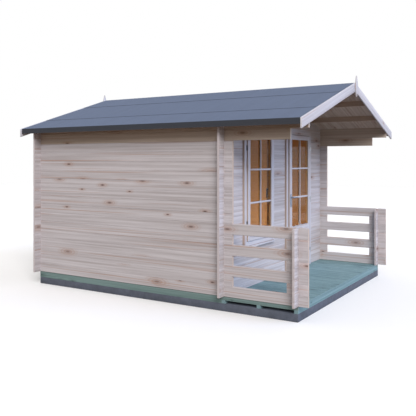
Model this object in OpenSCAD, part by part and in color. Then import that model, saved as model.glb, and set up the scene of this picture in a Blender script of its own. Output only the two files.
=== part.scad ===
// Garden log cabin: interlocking planed logs, a porch under the front gable, a glazed door and a window.
// Local frame of the modules: x = 0 in the middle, y = 0 on the outer face of the front wall with +y
// to the back, z = 0 under the bottom logs. placed() moves the cabin to the middle of its own outline.

/* [Logs] */
// Thickness of a wall log
log_t = 28; // [24:1:44]
// Height of one course of logs
course = 116; // [100:1:135]
// Length of a log past the face of the log that it crosses
tail = 106; // [70:1:150]
// Bevel along the edges of a log
bevel = 3; // [1:0.5:5]
// Width of the tongue on top of a log
tongue_w = 10; // [6:1:14]
// Height of the tongue on top of a log
tongue_h = 7; // [4:1:10]
// Play between two pieces that are fitted together
play = 0.4; // [0.2:0.1:0.6]
// Run of a cut past the face that it opens
over = 1; // [0.5:0.5:2]

/* [Room and porch] */
// Clear width between the side walls
room_w = 2930; // [2800:10:3400]
// Clear depth between the front wall and the back wall
room_d = 2886; // [2400:10:3600]
// Clear depth between the front wall and the porch posts
porch_d = 864; // [820:4:1100]
// Whole courses of the side walls below the top log
wall_courses = 16; // [16:1:18]
// Courses of the porch balustrade, an odd number
rail_courses = 7; // [5:2:9]
// Reach of the lower roof-bearing log past the front wall
bracket_reach = 800; // [600:10:820]

/* [Roof] */
// Pitch of the roof in degrees
roof_pitch = 17.4; // [15:0.1:24]
// Height of the top side log at the outer face of the wall
top_log_h = 136; // [125:1:160]
// Overhang of the roof past the outer face of a side wall
eave_overhang = 207; // [150:1:260]
// Length of the roof past the log tails
roof_past_tails = 5; // [2:1:40]
// Thickness of the roof boards
deck_t = 18; // [15:1:25]
// Thickness of one layer of roofing felt
felt_t = 3; // [2:0.5:4]
// Distance of the upper felt lap from the ridge, measured level
upper_lap = 510; // [400:5:600]
// Distance of the lower felt lap from the ridge, measured level
lower_lap = 1260; // [1000:5:1400]
// Height of the felt folded down over the eave
eave_fold_h = 62; // [50:1:80]
// Thickness of the strip under the edge of the roof boards
eave_strip_t = 20; // [15:1:30]
// Width of a purlin
purlin_t = 44; // [36:1:50]
// Height of a side purlin
purlin_h = 60; // [50:1:80]
// Height of the ridge purlin
ridge_h = 90; // [80:1:110]
// Distance of the upper side purlin from the ridge
upper_purlin = 510; // [450:5:600]
// Distance of the lower side purlin from the ridge
lower_purlin = 1025; // [950:5:1150]
// Thickness of a barge board
barge_t = 18; // [15:1:25]
// Width of a barge board, square to its length
barge_w = 104; // [90:1:125]
// Reach of a barge board past the folded felt at the eave
barge_past_eave = 16; // [0:1:40]
// Width of a finial
finial_w = 86; // [60:1:120]
// Height of a finial
finial_h = 264; // [200:1:320]
// Height of the middle of a finial below the ridge
finial_drop = 46; // [20:1:80]

/* [Base] */
// Height of the plinth
plinth_h = 88; // [60:1:200]
// Distance of the plinth and bearers behind the outer faces of the walls
base_inset = 10; // [0:1:14]
// Height of the bearers under the walls
bearer_h = 80; // [64:1:95]
// Width of a bearer
bearer_t = 45; // [40:1:60]
// Thickness of the floor boards
floor_t = 19; // [15:1:22]
// Height of the sills under the balustrades
sill_h = 44; // [36:1:48]
// Distance between the middles of the floor joists
joist_pitch = 480; // [350:5:600]

/* [Door and window] */
// Visible width of the glass in the door and the window
glass_w = 576; // [480:2:620]
// Height of the visible glass
glass_h = 1200; // [1000:2:1420]
// Height of the rail over the glass of the door
top_rail = 61; // [50:1:90]
// Depth of the glass edge inside its groove
glass_edge = 8; // [5:1:10]
// Thickness of the glass
glass_t = 4; // [3:1:6]
// Distance of the middle of the window from the middle of the cabin
window_x = 650; // [600:5:750]
// Distance of the middle of the door from the middle of the cabin
door_x = 582; // [560:5:750]
// Least height of the rail under the glass of the window
sash_rail = 46; // [40:1:60]
// Width of the window sash stiles
sash_stile = 60; // [45:1:75]
// Width of the door stiles
door_stile = 84; // [70:1:110]
// Height of the rail under the door glass
lock_rail = 90; // [70:1:120]
// Height of the bottom rail of the door
bottom_rail = 130; // [100:1:180]
// Depth of the recessed door panel on each face
panel_recess = 10; // [5:1:14]
// Thickness of the frame lining inside the wall opening
lining_t = 36; // [30:1:45]
// Width of the frame on the face of the wall
casing_w = 56; // [50:1:75]
// Thickness of the outer casing
casing_t = 25; // [18:1:30]
// Thickness of the inner casing
inner_casing_t = 18; // [12:1:25]
// Thickness of the door leaf and the window sash
leaf_t = 44; // [38:1:48]
// Projection of the leaf and the sash past the casing
leaf_proud = 17; // [12:1:20]
// Width of the stops that the leaf closes against
stop_w = 12; // [8:1:16]
// Thickness of the door stops
stop_t = 15; // [10:1:18]
// Clearance between the door leaf and its frame
door_gap = 7; // [6:0.5:9]
// Clearance between the closed door leaf and its stops
stop_gap = 5; // [5:0.5:7]
// Clearance between the window sash and its frame
sash_gap = 2; // [1:0.5:4]
// Height of the door threshold
threshold_h = 30; // [20:1:40]
// Height of the drip board under the window
drip_h = 24; // [18:1:30]
// Fall of the drip board from the wall to its front edge
drip_fall = 8; // [4:1:12]
// Projection of the drip board past the casing
drip_reach = 14; // [5:1:30]

/* [Ironmongery] */
// Radius of a door hinge barrel
barrel_r = 7; // [6:0.5:9]
// Length of each half of a door hinge barrel
barrel_h = 40; // [30:1:60]
// Radius of a door hinge pin
pin_r = 3; // [2:0.5:4]
// Length of a hinge pin short of the end of the upper barrel
pin_short = 4; // [2:0.5:6]
// Length of a window hinge barrel
window_barrel_h = 60; // [40:1:80]
// Distance of a window hinge from the top or bottom of the clear opening
window_hinge_inset = 210; // [140:5:280]
// Projection of a door hinge barrel past the leaf
barrel_proud = 2; // [1:0.5:4]
// Distance of the top and bottom hinges from the ends of the leaf
hinge_inset = 180; // [120:5:260]
// Running play round a hinge pin
pin_play = 0.3; // [0.2:0.1:0.5]
// Width of a hinge plate
plate_w = 34; // [25:1:45]
// Thickness of a hinge plate
plate_t = 3; // [2:0.5:4]
// Height of the middle of the handle above the floor
handle_z = 974; // [900:2:1100]
// Height of the handle plate
handle_plate_h = 180; // [140:2:220]
// Width of the handle plate
handle_plate_w = 38; // [30:1:50]
// Thickness of the handle plate
handle_plate_t = 5; // [3:1:8]
// Height of the lever above the middle of the handle plate
lever_up = 40; // [20:1:60]
// Radius of the lever
lever_r = 8; // [6:0.5:10]
// Length of the lever
lever_l = 112; // [90:1:130]
// Distance of the lever from the leaf
lever_out = 46; // [35:1:60]

/* [Hidden] */
$fn = 48;

// Plan of the walls
half_w = room_w / 2 + log_t;
side_x = room_w / 2 + log_t / 2;
front_y = log_t / 2;
back_y = log_t + room_d + log_t / 2;
post_y = -porch_d - log_t / 2;
post_face = -porch_d - log_t;
back_face = log_t + room_d + log_t;
tails_front = post_face - tail;
tails_back = back_face + tail;
y_shift = -(tails_front + tails_back) / 2;
z_shift = plinth_h + bearer_h;

// Roof planes
slope = tan(roof_pitch);
wall_top = wall_courses * course + top_log_h;
apex = wall_top + half_w * slope;
deck_v = deck_t / cos(roof_pitch);
felt_v = felt_t / cos(roof_pitch);
roof_front = tails_front - roof_past_tails;
roof_back = tails_back + roof_past_tails;
eave_x = half_w + eave_overhang;
function under_roof_z(x) = apex - abs(x) * slope;
function deck_top_z(x) = under_roof_z(x) + deck_v;
function felt_top_z(x) = deck_top_z(x) + 2 * felt_v + play;

// Openings, with heads on a joint of the front wall
head_z = (wall_courses + 0.5) * course;
clear_top = head_z - lining_t;
glass_z = clear_top - door_gap - top_rail - glass_h;
window_sill_courses = floor((glass_z - sash_rail - sash_gap - lining_t) / course - 0.5);
window_sill_z = (window_sill_courses + 0.5) * course;
leaf_w = glass_w + 2 * door_stile;
door_clear = leaf_w + 2 * door_gap;
door_rough = door_clear + 2 * lining_t;
sash_w = glass_w + 2 * sash_stile;
window_clear = sash_w + 2 * sash_gap;
window_rough = window_clear + 2 * lining_t;
window_bottom = window_sill_z + lining_t;
door_left = door_x - door_rough / 2;
door_right = door_x + door_rough / 2;
window_left = -window_x - window_rough / 2;
window_right = -window_x + window_rough / 2;

// Faces of the leaf and the sash, and the hinge line
leaf_front = -casing_t - leaf_proud;
leaf_back = leaf_front + leaf_t;
leaf_z1 = threshold_h + door_gap;
leaf_z2 = clear_top - door_gap;
leaf_edge = door_x + leaf_w / 2;
hinge_x = leaf_edge + barrel_r + barrel_proud;
hinge_y = leaf_front + barrel_r - barrel_proud;
hinge_zs = [leaf_z1 + hinge_inset, (leaf_z1 + leaf_z2) / 2, leaf_z2 - hinge_inset];
sash_edge = -window_x - sash_w / 2;

pine = "#c9bcb4";
pale_pine = "#d8d2d8";
green_pine = "#78938f";
slate_felt = "#737f97";
plinth_grey = "#5a6270";
steel = "#8d97a6";

module placed() {
    translate([0, y_shift, z_shift]) children();
}

module block(lo, hi) {
    translate(lo) cube(hi - lo);
}

// Outline of a log across its length, standing on v = 0
module log_outline(h, tongue, groove) {
    half = log_t / 2;
    rib = tongue_w / 2;
    slot = tongue_w / 2 + play / 2;
    depth = tongue_h + play;
    polygon(concat(
        [[-half, bevel], [-half + bevel, 0]],
        groove ? [[-slot, 0], [-slot, depth], [slot, depth], [slot, 0]] : [],
        [[half - bevel, 0], [half, bevel], [half, h - bevel], [half - bevel, h]],
        tongue ? [[rib, h], [rib, h + tongue_h], [-rib, h + tongue_h], [-rib, h]] : [],
        [[-half + bevel, h], [-half, h - bevel]]
    ));
}

// A log along y between two places
module log_along_y(x, y1, y2, z, h, tongue = true, groove = true) {
    translate([x, y2, z + play / 2])
        rotate([90, 0, 0])
            linear_extrude(y2 - y1) log_outline(h - play, tongue, groove);
}

// A log along x between two places
module log_along_x(y, x1, x2, z, h, tongue = true, groove = true) {
    translate([x1, y, z + play / 2])
        rotate([90, 0, 90])
            linear_extrude(x2 - x1) log_outline(h - play, tongue, groove);
}

// Notches across a side log
module side_notches(x, ys, z, h) {
    low = course / 4 + play / 2;
    for (y = ys, span = [[-tongue_h, low], [course - low, h + tongue_h + course]])
        block([x - log_t, y - (log_t + play) / 2, z + span[0]], [x + log_t, y + (log_t + play) / 2, z + span[1]]);
}

// Notches across a front, back or post log
module cross_notches(y, xs, z, h) {
    low = course / 4 + play / 2;
    for (x = xs, span = [[-tongue_h, low], [h - low, h + tongue_h + course]])
        block([x - (log_t + play) / 2, y - log_t, z + span[0]], [x + (log_t + play) / 2, y + log_t, z + span[1]]);
}

// One log of the left side wall, counted from the bottom
module side_log(k, y1, y2, ys, tongue = true) {
    difference() {
        log_along_y(-side_x, y1, y2, k * course, course, tongue, k > 0);
        side_notches(-side_x, ys, k * course, course);
    }
}

// One log of a cross wall: 0 is the half log at the bottom
module cross_log(j, y, x1, x2, xs) {
    z = j == 0 ? 0 : (j - 0.5) * course;
    h = j == 0 ? course / 2 : course;
    difference() {
        log_along_x(y, x1, x2, z, h, true, j > 0);
        if (j > 0) cross_notches(y, xs, z, h);
        if (j == 0) half_log_notches(y, xs);
    }
}

// The half log has a notch on top only
module half_log_notches(y, xs) {
    for (x = xs)
        block([x - (log_t + play) / 2, y - log_t, course / 4 - play / 2],
              [x + (log_t + play) / 2, y + log_t, course]);
}

// Everything under the roof boards
module under_roof() {
    reach = 2 * eave_x;
    translate([0, roof_back + tail, 0])
        rotate([90, 0, 0])
            linear_extrude(roof_back - roof_front + 2 * tail)
                polygon([
                    [-reach, 0], [reach, 0], [reach, under_roof_z(reach) - play],
                    [0, apex - play], [-reach, under_roof_z(reach) - play]
                ]);
}

// Shape in the xz plane carried along y
module along_y(y1, y2) {
    translate([0, y2, 0]) rotate([90, 0, 0]) linear_extrude(y2 - y1) children();
}

// Base

module base_plinth() {
    x = half_w - base_inset;
    color(plinth_grey)
        block([-x, post_face + base_inset, -bearer_h - plinth_h], [x, back_face - base_inset, -bearer_h]);
}

bearer_x = half_w - base_inset;
rear_bearer_y = log_t / 2 - bearer_t / 2;
room_front_y = rear_bearer_y + bearer_t + play;
back_bearer_y = back_face - base_inset - bearer_t;
floor_x = bearer_x - bearer_t - play;

module room_bearers() {
    color(green_pine) {
        for (s = [-1, 1])
            block([min(s * bearer_x, s * (bearer_x - bearer_t)), room_front_y, -bearer_h],
                  [max(s * bearer_x, s * (bearer_x - bearer_t)), back_face - base_inset, 0]);
        block([-floor_x, back_bearer_y, -bearer_h], [floor_x, back_bearer_y + bearer_t, 0]);
    }
}

module room_joists() {
    span = back_bearer_y - room_front_y;
    count = floor(span / joist_pitch);
    step = span / count;
    color(green_pine)
        for (i = [0:count - 1])
            translate([0, room_front_y + (i + 0.5) * step, 0])
                block([-floor_x, -bearer_t / 2, -bearer_h], [floor_x, bearer_t / 2, -floor_t - play]);
}

// A cross bearer whose ends are lowered to carry the sills
module cross_bearer(y, top) {
    difference() {
        block([-bearer_x, y, -bearer_h], [bearer_x, y + bearer_t, top]);
        for (s = [-1, 1])
            translate([s * bearer_x, y + bearer_t / 2, 0])
                block([-bearer_t - play, -bearer_t, -sill_h - play], [bearer_t + play, bearer_t, bearer_h]);
    }
}

module porch_bearers() {
    front = post_face + base_inset;
    middle = (front + rear_bearer_y) / 2;
    under_boards = -floor_t - play;
    color(green_pine) {
        cross_bearer(front, under_boards);
        cross_bearer(middle, under_boards);
        difference() {
            cross_bearer(rear_bearer_y, -play / 2);
            block([-bearer_x, rear_bearer_y - over, under_boards], [bearer_x, play, bearer_h]);
        }
    }
}

module porch_sills() {
    color(green_pine)
        for (s = [-1, 1])
            block([min(s * bearer_x, s * (bearer_x - bearer_t)), post_face + base_inset, -sill_h],
                  [max(s * bearer_x, s * (bearer_x - bearer_t)), rear_bearer_y + bearer_t, 0]);
}

module room_floor() {
    color(pine) block([-floor_x, room_front_y, -floor_t], [floor_x, back_bearer_y - play, 0]);
}

module porch_floor() {
    color(green_pine) block([-floor_x, post_face + base_inset, -floor_t], [floor_x, 0, 0]);
}

// Side walls, drawn on the left

wall_ys = [front_y, back_y];
all_ys = [post_y, front_y, back_y];
post_back = -porch_d + tail;

module side_wall() {
    color(pine)
        for (k = [0:wall_courses - 2])
            if (k >= rail_courses || k % 2 == 1) side_log(k, -tail, tails_back, wall_ys);
}

module balustrade() {
    color(pine)
        for (k = [0:2:rail_courses - 1])
            side_log(k, tails_front, tails_back, all_ys);
}

module eave_logs() {
    k = wall_courses;
    color(pine) {
        side_log(k - 1, -bracket_reach, tails_back, wall_ys);
        difference() {
            intersection() {
                log_along_y(-side_x, roof_front, roof_back, k * course, top_log_h + 2 * course, false, true);
                under_roof();
            }
            side_notches(-side_x, wall_ys, k * course, top_log_h);
        }
    }
}

module porch_post() {
    x1 = -half_w - tail;
    x2 = -half_w + log_t + tail;
    top = rail_courses * course;
    color(pine) {
        for (k = [1:2:rail_courses - 2])
            side_log(k, tails_front, post_back, [post_y]);
        for (j = [0:rail_courses - 1])
            cross_log(j, post_y, x1, x2, [-side_x]);
        difference() {
            log_along_x(post_y, x1, x2, top - course / 2, course / 2, false, true);
            cross_notches(post_y, [-side_x], top - course / 2, course);
        }
    }
}

module left_wall() side_wall();
module left_balustrade() balustrade();
module left_eave_logs() eave_logs();
module left_porch_post() porch_post();
module right_wall() mirror([1, 0, 0]) side_wall();
module right_balustrade() mirror([1, 0, 0]) balustrade();
module right_eave_logs() mirror([1, 0, 0]) eave_logs();
module right_porch_post() mirror([1, 0, 0]) porch_post();

// Cross walls

cross_end = half_w + tail;
side_xs = [-side_x, side_x];
head_courses = wall_courses;

module back_wall() {
    color(pine)
        for (j = [0:head_courses])
            cross_log(j, back_y, -cross_end, cross_end, side_xs);
}

// Logs over the heads, cut to the roof and notched for the purlins
module gable(y) {
    last = ceil(apex / course + 0.5) - 1;
    color(pine)
        difference() {
            intersection() {
                for (j = [head_courses + 1:last])
                    cross_log(j, y, -cross_end, cross_end, side_xs);
                under_roof();
            }
            purlin_notches();
        }
}

module back_gable() gable(back_y);
module front_gable() gable(front_y);

// The top log loses its tongue under the window frame
module front_wall_below_window() {
    color(pine)
        difference() {
            for (j = [0:window_sill_courses])
                cross_log(j, front_y, -cross_end, door_left, [-side_x]);
            block([window_left, -log_t, window_sill_z], [window_right, 2 * log_t, window_sill_z + course]);
        }
}

module front_wall_left() {
    color(pine)
        for (j = [window_sill_courses + 1:head_courses])
            cross_log(j, front_y, -cross_end, window_left, [-side_x]);
}

module front_wall_middle() {
    color(pine)
        for (j = [window_sill_courses + 1:head_courses])
            cross_log(j, front_y, window_right, door_left, []);
}

module front_wall_right() {
    color(pine)
        for (j = [0:head_courses])
            cross_log(j, front_y, door_right, cross_end, [side_x]);
}

// Roof

// Outline of a purlin under the roof boards, centred on x
module purlin_outline(x, h, spare) {
    half = purlin_t / 2 + spare;
    low = under_roof_z(x) - h - spare;
    polygon([
        [x - half, low], [x + half, low], [x + half, under_roof_z(x + half) - play + spare],
        [x, under_roof_z(x) - play + spare], [x - half, under_roof_z(x - half) - play + spare]
    ]);
}

module purlin(x, h, spare = 0) {
    along_y(roof_front, roof_back) purlin_outline(x, h, spare);
}

module purlin_notches() {
    purlin(0, ridge_h, 2 * play);
    for (s = [-1, 1], x = [upper_purlin, lower_purlin])
        purlin(s * x, purlin_h, 2 * play);
}

module ridge_purlin() {
    color(pine) purlin(0, ridge_h);
}

module left_purlins() {
    color(pine)
        for (x = [upper_purlin, lower_purlin]) purlin(-x, purlin_h);
}

module right_purlins() {
    color(pine)
        for (x = [upper_purlin, lower_purlin]) purlin(x, purlin_h);
}

deck_edge = eave_x - felt_t - play;

module roof_boards() {
    color(pine)
        along_y(roof_front, roof_back)
            polygon([
                [play / 2, under_roof_z(play / 2)], [play / 2, deck_top_z(play / 2)],
                [deck_edge, deck_top_z(deck_edge)], [deck_edge, under_roof_z(deck_edge)]
            ]);
}

module left_roof_boards() mirror([1, 0, 0]) roof_boards();
module right_roof_boards() roof_boards();

fold_z = deck_top_z(eave_x) - eave_fold_h;

// Lower and middle strips of felt on one slope, lapped and folded down over the eave
module side_felt() {
    seat = play / 2;
    fold_x = eave_x - felt_t;
    color(slate_felt)
        along_y(roof_front, roof_back)
            polygon([
                [play, deck_top_z(play) + seat], [fold_x, deck_top_z(fold_x) + seat], [fold_x, fold_z],
                [eave_x, fold_z], [eave_x, deck_top_z(eave_x) + seat + felt_v],
                [lower_lap, deck_top_z(lower_lap) + seat + felt_v],
                [lower_lap, deck_top_z(lower_lap) + seat + 2 * felt_v],
                [upper_lap, deck_top_z(upper_lap) + seat + felt_v], [play, deck_top_z(play) + seat + felt_v]
            ]);
}

module left_felt() mirror([1, 0, 0]) side_felt();
module right_felt() side_felt();

// Strip of felt over the ridge
module ridge_felt() {
    color(slate_felt)
        along_y(roof_front, roof_back)
            polygon([
                [-upper_lap, felt_top_z(upper_lap) - felt_v], [0, felt_top_z(0) - felt_v],
                [upper_lap, felt_top_z(upper_lap) - felt_v], [upper_lap, felt_top_z(upper_lap)],
                [0, felt_top_z(0)], [-upper_lap, felt_top_z(upper_lap)]
            ]);
}

module eave_strip() {
    inner = deck_edge - eave_strip_t;
    along_y(roof_front, roof_back)
        polygon([
            [inner, fold_z], [deck_edge, fold_z],
            [deck_edge, under_roof_z(deck_edge) - play], [inner, under_roof_z(inner) - play]
        ]);
}

module eave_strips() {
    color(pine)
        for (s = [0, 1]) mirror([s, 0, 0]) eave_strip();
}

barge_end = eave_x + barge_past_eave;
barge_v = barge_w / cos(roof_pitch);

module barge_pair(y1) {
    color(pale_pine)
        for (s = [0, 1])
            mirror([s, 0, 0])
                along_y(y1, y1 + barge_t)
                    polygon([
                        [play / 2, felt_top_z(play / 2)], [play / 2, felt_top_z(play / 2) - barge_v],
                        [barge_end, felt_top_z(barge_end) - barge_v], [barge_end, felt_top_z(barge_end)]
                    ]);
}

front_barge_y = roof_front - play - barge_t;
back_barge_y = roof_back + play;

module front_barge_boards() barge_pair(front_barge_y);
module back_barge_boards() barge_pair(back_barge_y);

module finial(y1) {
    color(pale_pine)
        along_y(y1, y1 + barge_t)
            translate([0, felt_top_z(0) - finial_drop])
                polygon([[0, finial_h / 2], [-finial_w / 2, 0], [0, -finial_h / 2], [finial_w / 2, 0]]);
}

module front_finial() finial(front_barge_y - play - barge_t);
module back_finial() finial(back_barge_y + barge_t + play);

// Window

// A frame that grips the log ends: casing outside, lining between them, casing inside.
// Each pair of corners is in the xz plane.
module frame_bars(casing_lo, casing_hi, lining_lo, lining_hi) {
    seat = play / 2;
    block([casing_lo[0], -casing_t, casing_lo[1]], [casing_hi[0], -seat, casing_hi[1]]);
    block([lining_lo[0], -seat - over, lining_lo[1]], [lining_hi[0], log_t + seat + over, lining_hi[1]]);
    block([casing_lo[0], log_t + seat, casing_lo[1]], [casing_hi[0], log_t + inner_casing_t, casing_hi[1]]);
}

module window_frame() {
    half = window_clear / 2;
    out = half + casing_w;
    in = half + lining_t - play;
    back = log_t + inner_casing_t;
    color(pale_pine)
        translate([-window_x, 0, 0])
            difference() {
                frame_bars([-out, window_bottom - casing_w], [out, clear_top + casing_w],
                           [-in, window_sill_z + play], [in, head_z - play]);
                block([-half, -casing_t - over, window_bottom], [half, leaf_back + play, clear_top]);
                block([-half + stop_w, 0, window_bottom + stop_w], [half - stop_w, back + over, clear_top - stop_w]);
            }
}

module window_drip_board() {
    half = window_clear / 2 + casing_w;
    top = window_bottom - casing_w - play;
    front = -casing_t - drip_reach;
    color(pale_pine)
        translate([-window_x - half, 0, 0])
            rotate([90, 0, 90])
                linear_extrude(2 * half)
                    polygon([[-play, top], [front, top - drip_fall], [front, top - drip_h], [-play, top - drip_h]]);
}

module glass_sheet(x, spare = 0) {
    half = glass_w / 2 + glass_edge + spare;
    mid = (leaf_front + leaf_back) / 2;
    block([x - half, mid - glass_t / 2 - spare, glass_z - glass_edge - spare],
          [x + half, mid + glass_t / 2 + spare, glass_z + glass_h + glass_edge + spare]);
}

// A leaf with its glass opening and the groove that holds the glass
module glazed_leaf(x, w, z1, z2) {
    difference() {
        block([x - w / 2, leaf_front, z1], [x + w / 2, leaf_back, z2]);
        block([x - glass_w / 2, leaf_front - over, glass_z], [x + glass_w / 2, leaf_back + over, glass_z + glass_h]);
        glass_sheet(x, play);
    }
}

module window_sash() {
    color(pale_pine) glazed_leaf(-window_x, sash_w, window_bottom + sash_gap, clear_top - sash_gap);
}

module window_glass() {
    color("#9a7350", 0.6) glass_sheet(-window_x);
}

module window_hinges() {
    y = -casing_t - barrel_r;
    color("#3a3d42")
        for (z = [window_bottom + window_hinge_inset, clear_top - window_hinge_inset])
            translate([sash_edge - barrel_r, y, z])
                cylinder(r = barrel_r - play, h = window_barrel_h, center = true);
}

// Door

module door_jambs() {
    half = door_clear / 2;
    color(pale_pine)
        translate([door_x, 0, 0])
            for (s = [0, 1])
                mirror([s, 0, 0])
                    frame_bars([half, play / 2], [half + casing_w, clear_top],
                               [half, play / 2], [half + lining_t - play, clear_top]);
}

module door_head() {
    half = door_clear / 2;
    low = clear_top + play;
    color(pale_pine)
        translate([door_x, 0, 0])
            frame_bars([-half - casing_w, low], [half + casing_w, low + casing_w],
                       [-half - lining_t + play, low], [half + lining_t - play, head_z - play]);
}

module door_threshold() {
    half = door_clear / 2 - play;
    color(pine)
        block([door_x - half, -casing_t, play / 2], [door_x + half, log_t + inner_casing_t, threshold_h]);
}

// Strips that the leaf closes against: two upright, one across the head
module door_stops() {
    half = door_clear / 2 - play;
    y1 = leaf_back + stop_gap;
    top = clear_top - play;
    color(pale_pine)
        translate([door_x, y1, 0]) {
            for (s = [0, 1])
                mirror([s, 0, 0])
                    block([half - stop_w, 0, threshold_h + play], [half, stop_t, top]);
            block([-half + stop_w + play, 0, top - stop_w], [half - stop_w - play, stop_t, top]);
        }
}

module door_leaf() {
    panel_z1 = leaf_z1 + bottom_rail;
    panel_z2 = glass_z - lock_rail;
    faces = [[leaf_front - over, leaf_front + panel_recess], [leaf_back - panel_recess, leaf_back + over]];
    color(pale_pine)
        difference() {
            glazed_leaf(door_x, leaf_w, leaf_z1, leaf_z2);
            for (face = faces)
                block([door_x - glass_w / 2, face[0], panel_z1], [door_x + glass_w / 2, face[1], panel_z2]);
        }
}

module door_glass() {
    color("#9a7350", 0.6) glass_sheet(door_x);
}

// Fixed half of each hinge: a barrel with its pin, and a plate on the casing
module door_hinge_pins() {
    color(steel)
        for (z = hinge_zs)
            translate([hinge_x, hinge_y, z]) {
                translate([0, 0, -barrel_h]) cylinder(r = barrel_r, h = barrel_h - play);
                translate([0, 0, -barrel_h]) cylinder(r = pin_r, h = 2 * barrel_h - pin_short);
                block([-barrel_r / 2, 0, -barrel_h], [barrel_r / 2, -hinge_y - casing_t, -play]);
                block([-barrel_r / 2, -hinge_y - casing_t - plate_t, -barrel_h],
                      [plate_w, -hinge_y - casing_t, -play]);
            }
}

// Moving half of each hinge: a barrel round the pin, and a plate on the leaf
module door_hinge_barrels() {
    front = leaf_front - hinge_y;
    edge = leaf_edge - hinge_x;
    color(steel)
        for (z = hinge_zs)
            translate([hinge_x, hinge_y, z])
                difference() {
                    union() {
                        translate([0, 0, play]) cylinder(r = barrel_r, h = barrel_h);
                        block([edge - plate_w, front - plate_t, play], [edge + over, front, barrel_h + play]);
                        block([edge, front - plate_t, play], [barrel_r / 2, 0, barrel_h + play]);
                    }
                    translate([0, 0, -over]) cylinder(r = pin_r + pin_play, h = barrel_h - pin_short + over + pin_play);
                }
}

// Plate and lever on one face of the leaf, drawn towards -y from the face at y = 0
module handle() {
    flat = handle_plate_h / 2 - handle_plate_w / 2;
    rotate([90, 0, 0])
        linear_extrude(handle_plate_t) {
            square([handle_plate_w, 2 * flat], center = true);
            for (s = [-1, 1]) translate([0, s * flat]) circle(d = handle_plate_w);
        }
    translate([0, 0, lever_up]) {
        rotate([90, 0, 0]) cylinder(r = lever_r, h = lever_out);
        translate([0, -lever_out, 0]) rotate([0, 90, 0]) cylinder(r = lever_r, h = lever_l);
        translate([0, -lever_out, 0]) sphere(r = lever_r);
        translate([lever_l, -lever_out, 0]) sphere(r = lever_r);
    }
}

module door_handles() {
    x = door_x - leaf_w / 2 + door_stile / 2;
    color(steel) {
        translate([x, leaf_front, handle_z]) handle();
        translate([x, leaf_back, handle_z]) mirror([0, 1, 0]) handle();
    }
}

placed() base_plinth();
placed() room_bearers();
placed() room_joists();
placed() porch_bearers();
placed() porch_sills();
placed() room_floor();
placed() porch_floor();
placed() left_wall();
placed() left_balustrade();
placed() left_eave_logs();
placed() left_porch_post();
placed() right_wall();
placed() right_balustrade();
placed() right_eave_logs();
placed() right_porch_post();
placed() back_wall();
placed() back_gable();
placed() front_wall_below_window();
placed() front_wall_left();
placed() front_wall_middle();
placed() front_wall_right();
placed() front_gable();
placed() ridge_purlin();
placed() left_purlins();
placed() right_purlins();
placed() left_roof_boards();
placed() right_roof_boards();
placed() left_felt();
placed() right_felt();
placed() ridge_felt();
placed() eave_strips();
placed() front_barge_boards();
placed() back_barge_boards();
placed() front_finial();
placed() back_finial();
placed() window_frame();
placed() window_drip_board();
placed() window_sash();
placed() window_glass();
placed() window_hinges();
placed() door_jambs();
placed() door_head();
placed() door_threshold();
placed() door_stops();
placed() door_hinge_pins();
placed() door_leaf();
placed() door_glass();
placed() door_handles();
placed() door_hinge_barrels();
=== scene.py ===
"""Garden log cabin with a porch: the finishes, boards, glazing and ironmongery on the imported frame."""

from math import radians, tan, tau

import bpy
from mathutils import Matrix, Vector


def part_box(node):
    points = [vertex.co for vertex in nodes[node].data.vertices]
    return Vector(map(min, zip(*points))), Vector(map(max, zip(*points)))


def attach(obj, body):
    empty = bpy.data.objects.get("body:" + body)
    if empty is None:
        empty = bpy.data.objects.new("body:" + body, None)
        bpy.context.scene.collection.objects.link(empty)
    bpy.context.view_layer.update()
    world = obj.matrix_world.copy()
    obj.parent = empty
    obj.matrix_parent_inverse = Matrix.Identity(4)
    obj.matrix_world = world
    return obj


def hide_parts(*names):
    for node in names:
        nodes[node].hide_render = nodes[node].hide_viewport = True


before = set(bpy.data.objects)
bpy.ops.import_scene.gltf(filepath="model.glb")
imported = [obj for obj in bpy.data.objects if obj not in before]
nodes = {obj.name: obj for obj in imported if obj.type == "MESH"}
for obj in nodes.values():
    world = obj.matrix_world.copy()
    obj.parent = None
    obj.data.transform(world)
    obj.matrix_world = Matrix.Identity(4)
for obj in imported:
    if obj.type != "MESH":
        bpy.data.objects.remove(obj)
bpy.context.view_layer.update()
bpy.ops.object.select_all(action="DESELECT")

# Plinth: a low slab of dark concrete that the whole cabin stands on.
# Cast in a mould, so its faces are smooth with a faint cloudiness and small air holes.


def linear(hex_code):
    """An sRGB hex colour as linear red, green, blue and one."""
    steps = [int(hex_code[i:i + 2], 16) / 255 for i in (1, 3, 5)]
    return [s / 12.92 if s <= 0.04045 else ((s + 0.055) / 1.055) ** 2.4 for s in steps] + [1]


def new_finish(name):
    """A named material with its surface shader."""
    finish = bpy.data.materials.new(name)
    finish.use_nodes = True
    return finish, finish.node_tree.nodes["Principled BSDF"]


def add(finish, kind, inputs=None, **settings):
    """One shader node; an input is a number, a colour or another node's output."""
    made = finish.node_tree.nodes.new("ShaderNode" + kind)
    for key, value in settings.items():
        setattr(made, key, value)
    for key, value in (inputs or {}).items():
        if isinstance(value, bpy.types.NodeSocket):
            finish.node_tree.links.new(value, made.inputs[key])
        else:
            made.inputs[key].default_value = value
    return made


def feed(finish, shader, **sockets):
    """Links node outputs to the shader's sockets."""
    for key, output in sockets.items():
        finish.node_tree.links.new(output, shader.inputs[key.replace("_", " ")])


def dress(names, finish):
    """Gives a finish to solids of the frame."""
    for name in names:
        nodes[name].data.materials.clear()
        nodes[name].data.materials.append(finish)


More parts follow.
